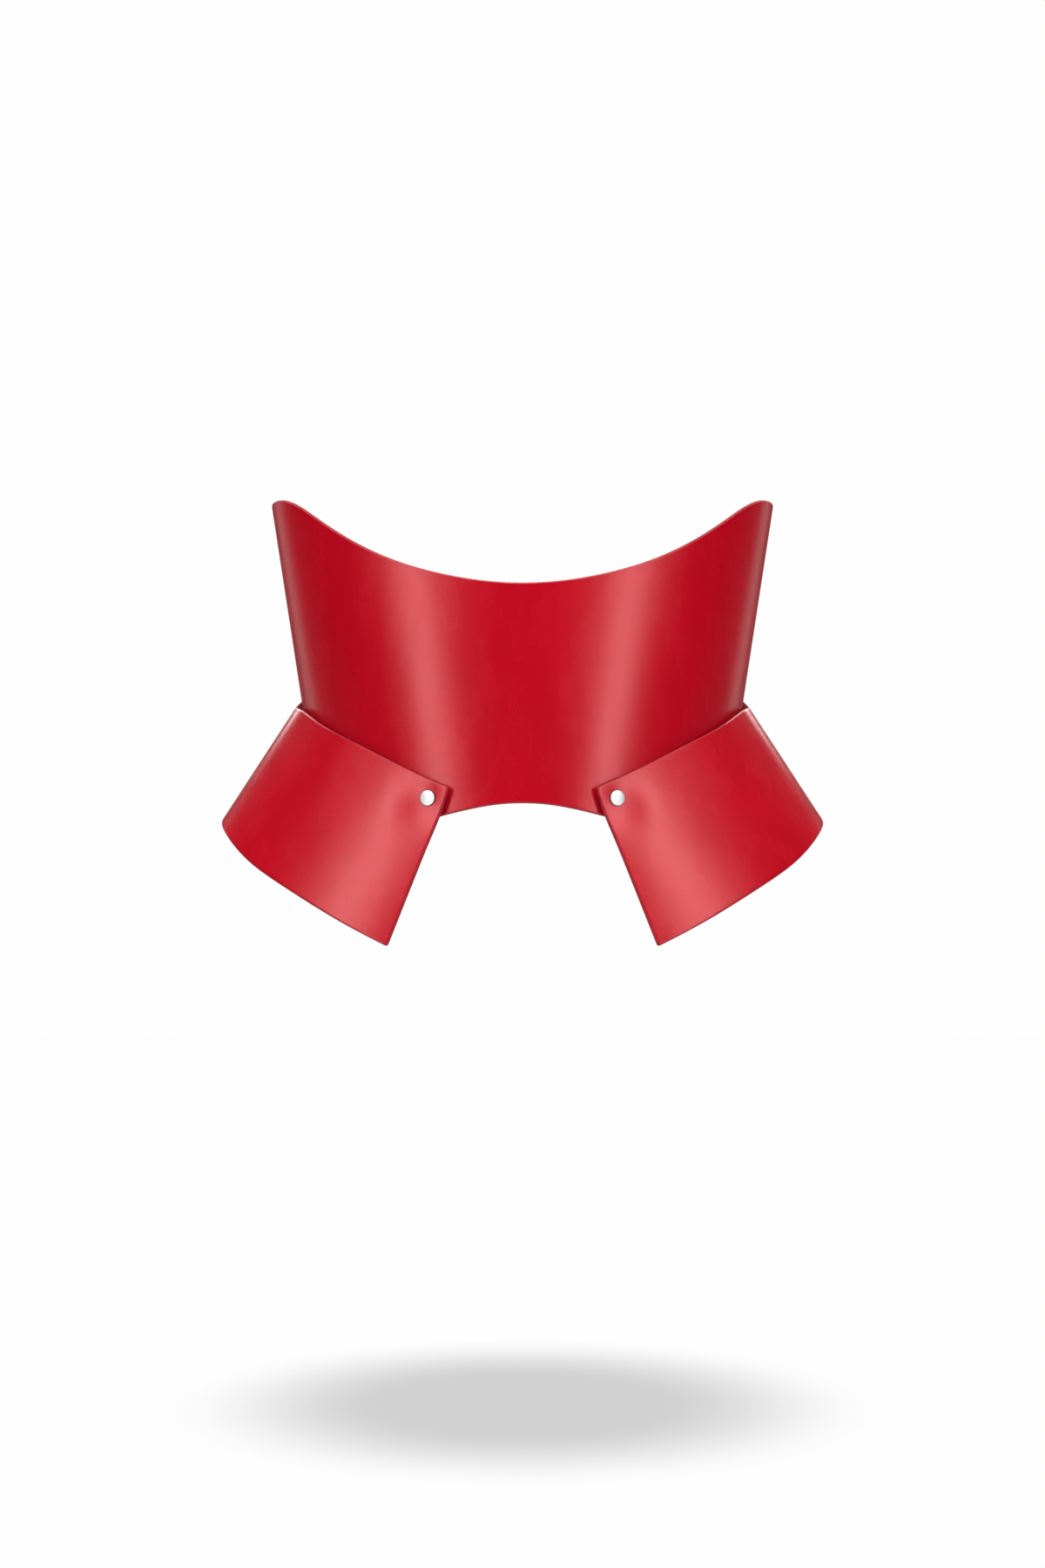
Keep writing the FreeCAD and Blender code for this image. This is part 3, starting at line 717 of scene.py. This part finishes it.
# ---- materials ------------------------------------------------------------------------
class Nodes:
    """Short way to write a node tree."""

    def __init__(self, name):
        self.material = bpy.data.materials.new(name)
        self.material.use_nodes = True
        self.tree = self.material.node_tree
        self.shader = self.tree.nodes["Principled BSDF"]
        self.output = self.tree.nodes["Material Output"]
        self.place = self.add("ShaderNodeTexCoord").outputs["Object"]

    def add(self, kind, **settings):
        node = self.tree.nodes.new(kind)
        for key, value in settings.items():
            setattr(node, key, value)
        return node

    def put(self, socket, value):
        if isinstance(value, bpy.types.NodeSocket):
            self.tree.links.new(value, socket)
        else:
            socket.default_value = value

    def stretch(self, scale):
        node = self.add("ShaderNodeMapping")
        node.inputs["Scale"].default_value = scale
        self.put(node.inputs["Vector"], self.place)
        return node.outputs["Vector"]

    def noise(self, scale, detail=2.0, rough=0.5, place=None):
        node = self.add("ShaderNodeTexNoise")
        self.put(node.inputs["Vector"], place or self.place)
        self.put(node.inputs["Scale"], scale)
        self.put(node.inputs["Detail"], detail)
        self.put(node.inputs["Roughness"], rough)
        return node.outputs["Fac"]

    def cells(self, scale, feature="F1", place=None):
        node = self.add("ShaderNodeTexVoronoi", feature=feature)
        self.put(node.inputs["Vector"], place or self.place)
        self.put(node.inputs["Scale"], scale)
        return node.outputs["Distance"]

    def span(self, value, low, high, to_low=0.0, to_high=1.0):
        node = self.add("ShaderNodeMapRange", interpolation_type="SMOOTHSTEP")
        for name, v in (("Value", value), ("From Min", low), ("From Max", high),
                        ("To Min", to_low), ("To Max", to_high)):
            self.put(node.inputs[name], v)
        return node.outputs["Result"]

    def math(self, operation, a, b):
        node = self.add("ShaderNodeMath", operation=operation)
        for socket, value in zip(node.inputs, (a, b)):
            self.put(socket, value)
        return node.outputs["Value"]

    def mix(self, factor, a, b, kind="RGBA"):
        node = self.add("ShaderNodeMix", data_type=kind)
        self.put(node.inputs["Factor"], factor)
        self.put(node.inputs["A"], a)
        self.put(node.inputs["B"], b)
        return node.outputs["Result"]

    def blend(self, factor, a, b):
        return self.mix(factor, a, b, "FLOAT")

    def attribute(self, name):
        return self.add("ShaderNodeAttribute", attribute_name=name).outputs["Fac"]

    def bump(self, height, distance, strength=1.0, normal=None):
        node = self.add("ShaderNodeBump")
        self.put(node.inputs["Height"], height)
        self.put(node.inputs["Distance"], distance)
        self.put(node.inputs["Strength"], strength)
        if normal is not None:
            self.put(node.inputs["Normal"], normal)
        return node.outputs["Normal"]


def rgb(r, g, b):
    return (r, g, b, 1.0)


LEATHER_RED = rgb(0.545, 0.0008, 0.0125)
LEATHER_DEEP = rgb(0.505, 0.0007, 0.0115)
LEATHER_VALLEY = rgb(0.33, 0.001, 0.008)
LEATHER_BURNISHED = rgb(0.38, 0.002, 0.011)
EDGE_PAINT = rgb(0.30, 0.001, 0.010)
EDGE_PAINT_WORN = rgb(0.23, 0.001, 0.008)
FLESH_SIDE = rgb(0.30, 0.007, 0.013)
FLESH_DARK = rgb(0.21, 0.005, 0.010)
FLESH_PALE = rgb(0.36, 0.014, 0.019)
FLESH_ROUGH, EDGE_ROUGH = 0.88, 0.60
HIGHLIGHT_TINT = rgb(1.0, 0.5, 0.5)
# painted shade: dark ring round a post head where it meets the leather
POST_RIM_SHADE = rgb(0.16, 0.06, 0.07)
HAZE = 0.92                   # brightness of the metal where its polish is hazy


def leather_material(name, grain, gloss):
    """Finished red leather: fine grain outside, painted edges and a fibrous inner side.

    grain is the size of the grain in metres, gloss the roughness of the finish.
    """
    n = Nodes(name)
    edge, near, flesh = n.attribute("edge"), n.attribute("near"), n.attribute("flesh")
    warped = n.add("ShaderNodeVectorMath", operation="ADD")
    drift = n.add("ShaderNodeTexNoise")
    n.put(drift.inputs["Vector"], n.place)
    n.put(drift.inputs["Scale"], 0.25 / grain)
    drift_small = n.add("ShaderNodeVectorMath", operation="SCALE")
    n.put(drift_small.inputs[0], drift.outputs["Color"])
    drift_small.inputs["Scale"].default_value = grain * 0.9
    n.put(warped.inputs[0], n.place)
    n.put(warped.inputs[1], drift_small.outputs["Vector"])
    place = warped.outputs["Vector"]
    pebble = n.cells(1 / grain, "SMOOTH_F1", place)
    valley = n.span(n.cells(1 / grain, "DISTANCE_TO_EDGE", place), 0.0, 0.22)
    pores = n.span(n.noise(2.2 / grain, 1.0), 0.30, 0.42)
    cloud = n.noise(14.0, 3.0)
    streak = n.noise(55.0, 2.0, 0.6, n.stretch((1.0, 1.0, 0.35)))

    # colour: cloudy dye, darker in the grain's valleys, burnished towards the edge
    tone = n.span(n.math("ADD", n.math("MULTIPLY", cloud, 0.6), n.math("MULTIPLY", streak, 0.4)),
                  0.35, 0.65)
    face = n.mix(tone, LEATHER_DEEP, LEATHER_RED)
    face = n.mix(n.math("MULTIPLY", n.span(valley, 0.0, 1.0, 1.0, 0.0), 0.10), face,
                 LEATHER_VALLEY)
    face = n.mix(n.span(near, 0.6, 3.2, 0.22, 0.0), face, LEATHER_BURNISHED)
    fibre = n.noise(900.0, 3.0, 0.7, n.stretch((1.0, 1.0, 0.45)))
    suede = n.mix(n.span(fibre, 0.3, 0.7), FLESH_DARK, FLESH_SIDE)
    suede = n.mix(n.span(cloud, 0.4, 0.62, 0.0, 0.35), suede, FLESH_PALE)
    paint = n.mix(n.span(n.noise(420.0, 2.0), 0.35, 0.65), EDGE_PAINT_WORN, EDGE_PAINT)
    colour = n.mix(flesh, face, suede)
    n.put(n.shader.inputs["Base Color"], n.mix(edge, colour, paint))

    # gloss: a little streaky, duller in the valleys and dull on the flesh side
    finish = n.span(streak, 0.3, 0.7, gloss - 0.02, gloss + 0.02)
    finish = n.math("ADD", finish, n.span(valley, 0.0, 1.0, 0.06, 0.0))
    finish = n.blend(flesh, finish, FLESH_ROUGH)
    n.put(n.shader.inputs["Roughness"], n.blend(edge, finish, EDGE_ROUGH))
    n.shader.inputs["IOR"].default_value = 1.5
    n.shader.inputs["Specular IOR Level"].default_value = 1.0
    n.shader.inputs["Specular Tint"].default_value = HIGHLIGHT_TINT

    # relief: pebbles, valleys and pores outside, fibres inside, and broad soft waves
    relief = n.math("ADD", n.math("MULTIPLY", pebble, -0.35), n.math("MULTIPLY", valley, 0.5))
    relief = n.math("ADD", relief, n.math("MULTIPLY", pores, 0.3))
    outside = n.math("MULTIPLY", relief, n.math("SUBTRACT", 1.0, edge))
    skin = n.blend(flesh, outside, n.math("MULTIPLY", fibre, 2.2))
    normal = n.bump(skin, grain * 0.022)
    normal = n.bump(cloud, 0.0004, 0.3, normal)
    n.put(n.shader.inputs["Normal"], normal)
    return n.material


def metal_material(name, colour, rough, scratch, shaded_rim=False):
    """Plated metal with fine polishing lines and slightly uneven gloss.

    rough is its roughness and scratch the depth of the lines in metres; the last flag paints shade,
    a dark ring, on the part of a post head that has the edge attribute.
    """
    n = Nodes(name)
    haze = n.noise(160.0, 3.0, 0.6)
    lines = n.noise(2600.0, 2.0, 0.6, n.stretch((1.0, 1.0, 0.06)))
    dull = rgb(*(c * HAZE for c in colour))
    bright = n.mix(n.span(haze, 0.35, 0.7), rgb(*colour), dull)
    # painted shade: a dark ring on the post head's rim and foot
    if shaded_rim:
        bright = n.mix(n.attribute("edge"), bright, POST_RIM_SHADE)
    n.put(n.shader.inputs["Base Color"], bright)
    n.shader.inputs["Metallic"].default_value = 1.0
    wear = n.math("ADD", n.span(haze, 0.3, 0.75, rough - 0.03, rough + 0.07),
                  n.math("MULTIPLY", lines, 0.04))
    n.put(n.shader.inputs["Roughness"], wear)
    n.put(n.shader.inputs["Normal"], n.bump(lines, scratch))
    return n.material


red_leather = leather_material("red_leather_finish", grain=0.00075, gloss=0.21)
strap_leather = leather_material("strap_leather_finish", grain=0.0006, gloss=0.40)
# the post heads get a painted dark ring of shade round their rims
post_metal = metal_material("post_metal", (1.0, 1.0, 1.0), rough=0.50, scratch=0.000003,
                            shaded_rim=True)
screw_metal = metal_material("screw_metal", (0.90, 0.90, 0.91), rough=0.30, scratch=0.000004)
buckle_metal = metal_material("buckle_metal", (0.80, 0.80, 0.81), rough=0.14, scratch=0.000005)
rivet_metal = metal_material("rivet_metal", (0.84, 0.84, 0.85), rough=0.20, scratch=0.000004)


# ---- pieces ---------------------------------------------------------------------------
def stand_in(piece, node, material):
    """Give a piece its material and put it in the place of its CAD node."""
    piece.data.materials.append(material)
    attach(piece, BELT)
    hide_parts(node)


stand_in(make_sheet("bodice_leather", bodice_sheet()), "bodice", red_leather)
flap = flap_sheet()
for side, mirror in SIDES:
    stand_in(make_sheet(side + "_flap_leather", flap, mirror), side + "_flap", red_leather)

for level, height in CLOSURE_HEIGHTS.items():
    for part, make in (("strap", make_strap), ("chape", make_chape), ("keeper", make_keeper)):
        node = level + "_" + part
        stand_in(make(node + "_leather", height), node, strap_leather)

for place, (angle, down) in zip(("front", "rear"), FLAP_POSTS):
    for side, mirror in SIDES:
        node = side + "_" + place + "_post"
        stand_in(make_post(node + "_head", angle, down, mirror), node, post_metal)

for word, metal in (("screw", screw_metal), ("rivet", rivet_metal), ("buckle", buckle_metal)):
    for name, node in nodes.items():
        if word in name:
            node.data.materials.clear()
            node.data.materials.append(metal)
            node.data.polygons.foreach_set("material_index", [0] * len(node.data.polygons))


# ---- camera, light and floor ----------------------------------------------------------
CAMERA_DISTANCE, CAMERA_HEIGHT = 2.0, -0.046
LENS, SENSOR = 80, 36
FLOOR_LEVEL, FLOOR_RADIUS = -0.402, 3.0
FLOOR_BRIGHT, WORLD_BRIGHT = 0.985, 0.99
# painted shadow: a soft dark oval painted into the floor's glow, sized and darkened by the next two
# values
SHADOW_HALF = (0.185, 0.215)            # half width and half depth
SHADOW_DEPTH = 0.345                    # how much brightness it takes in its middle
ROOM_FRONT, ROOM_BACK = 0.008, 0.10     # brightness of the room in front of and behind the belt

# Soft boxes, each one twice, left and right: (turn from the front in degrees, height,
# (width, length), brightness).  All stand at one distance from the belt's axis and face it.
BOX_DISTANCE = 1.3
BOX_AIM = (0, 0, -0.02)
SIDE_BOXES = {"high_inner": (26, 0.65, (0.27, 0.7), 0.5),
              "high_middle": (38, 0.65, (0.27, 0.7), 5.0),
              "high_outer": (50, 0.65, (0.27, 0.7), 0.8),
              "low": (38, -0.05, (0.27, 0.7), 4.1),
              "side": (62, 1.20, (0.5, 0.4), 3.0),
              "flank": (126, 1.25, (0.5, 0.4), 12.0),
              "low_rim": (130, 0.0, (0.40, 0.7), 0.5),
              "high_rim": (152, 0.7, (0.32, 0.7), 9.0)}


def add_camera():
    data = bpy.data.cameras.new("camera")
    data.lens = LENS
    data.sensor_width = SENSOR
    camera = bpy.data.objects.new("camera", data)
    camera.location = (0, -CAMERA_DISTANCE, CAMERA_HEIGHT)
    camera.rotation_euler = (math.pi / 2, 0, 0)
    bpy.context.scene.collection.objects.link(camera)
    bpy.context.scene.camera = camera


def add_light(name, place, aim, size, brightness):
    """Rectangular soft box; brightness is the radiance of its face."""
    data = bpy.data.lights.new(name, "AREA")
    data.shape = "RECTANGLE"
    data.size, data.size_y = size
    data.energy = brightness * math.pi * size[0] * size[1]
    lamp = bpy.data.objects.new(name, data)
    lamp.location = place
    lamp.rotation_euler = (Vector(aim) - Vector(place)).to_track_quat("-Z", "Y").to_euler()
    lamp.visible_camera = False
    bpy.context.scene.collection.objects.link(lamp)


def add_world():
    """White behind the belt for the camera; a dim room, darker in front, for reflections."""
    world = bpy.data.worlds.new("studio")
    bpy.context.scene.world = world
    world.use_nodes = True
    tree = world.node_tree
    background = tree.nodes["Background"]
    background.inputs["Color"].default_value = rgb(1, 1, 1)
    place = tree.nodes.new("ShaderNodeTexCoord")
    split = tree.nodes.new("ShaderNodeSeparateXYZ")
    behind = tree.nodes.new("ShaderNodeMapRange")
    behind.interpolation_type = "SMOOTHSTEP"
    behind.inputs["From Min"].default_value = -0.15
    behind.inputs["From Max"].default_value = 0.55
    behind.inputs["To Min"].default_value = ROOM_FRONT
    behind.inputs["To Max"].default_value = ROOM_BACK
    path = tree.nodes.new("ShaderNodeLightPath")
    seen = tree.nodes.new("ShaderNodeMix")
    seen.data_type = "FLOAT"
    seen.inputs["B"].default_value = WORLD_BRIGHT
    tree.links.new(place.outputs["Generated"], split.inputs[0])
    tree.links.new(split.outputs["Y"], behind.inputs["Value"])
    tree.links.new(path.outputs["Is Camera Ray"], seen.inputs["Factor"])
    tree.links.new(behind.outputs["Result"], seen.inputs["A"])
    tree.links.new(seen.outputs["Result"], background.inputs["Strength"])


def add_floor():
    """White paper with a soft oval shadow painted in for the camera, matte grey for the light."""
    bm = bmesh.new()
    bmesh.ops.create_circle(bm, cap_ends=True, radius=FLOOR_RADIUS, segments=96)
    mesh = bpy.data.meshes.new("floor")
    bm.to_mesh(mesh)
    bm.free()
    floor = bpy.data.objects.new("floor", mesh)
    floor.location = (0, 0, FLOOR_LEVEL)
    bpy.context.scene.collection.objects.link(floor)
    n = Nodes("floor_paper")
    n.put(n.shader.inputs["Base Color"], rgb(0.6, 0.6, 0.6))
    n.shader.inputs["Roughness"].default_value = 1.0
    n.shader.inputs["Specular IOR Level"].default_value = 0.0
    spread = n.add("ShaderNodeVectorMath", operation="LENGTH")
    n.put(spread.inputs[0], n.stretch((1 / SHADOW_HALF[0], 1 / SHADOW_HALF[1], 0.0)))
    # painted shadow: the floor's glow is dimmed in a soft oval under the belt
    fall = n.span(spread.outputs["Value"], 0.42, 1.12, SHADOW_DEPTH, 0.0)
    glow = n.add("ShaderNodeEmission")
    n.put(glow.inputs["Strength"], n.math("SUBTRACT", FLOOR_BRIGHT, fall))
    path = n.add("ShaderNodeLightPath")
    mixer = n.add("ShaderNodeMixShader")
    n.put(mixer.inputs["Fac"], path.outputs["Is Camera Ray"])
    n.put(mixer.inputs[1], n.shader.outputs["BSDF"])
    n.put(mixer.inputs[2], glow.outputs["Emission"])
    n.put(n.output.inputs["Surface"], mixer.outputs["Shader"])
    mesh.materials.append(n.material)


add_camera()
add_world()
add_floor()
add_light("front_top", (0, -1.09, 1.556), (0, 0, 0), size=(1.3, 0.6), brightness=7.5)
add_light("overhead", (0, 0, 1.3), (0, 0, 0), size=(0.5, 0.5), brightness=10.0)
for name, (turn, height, size, brightness) in SIDE_BOXES.items():
    for side, way in (("right", -1), ("left", 1)):
        place = (way * BOX_DISTANCE * math.sin(math.radians(turn)),
                 -BOX_DISTANCE * math.cos(math.radians(turn)), height)
        add_light(name + "_" + side, place, BOX_AIM, size, brightness)
bpy.context.scene.view_settings.view_transform = "Standard"
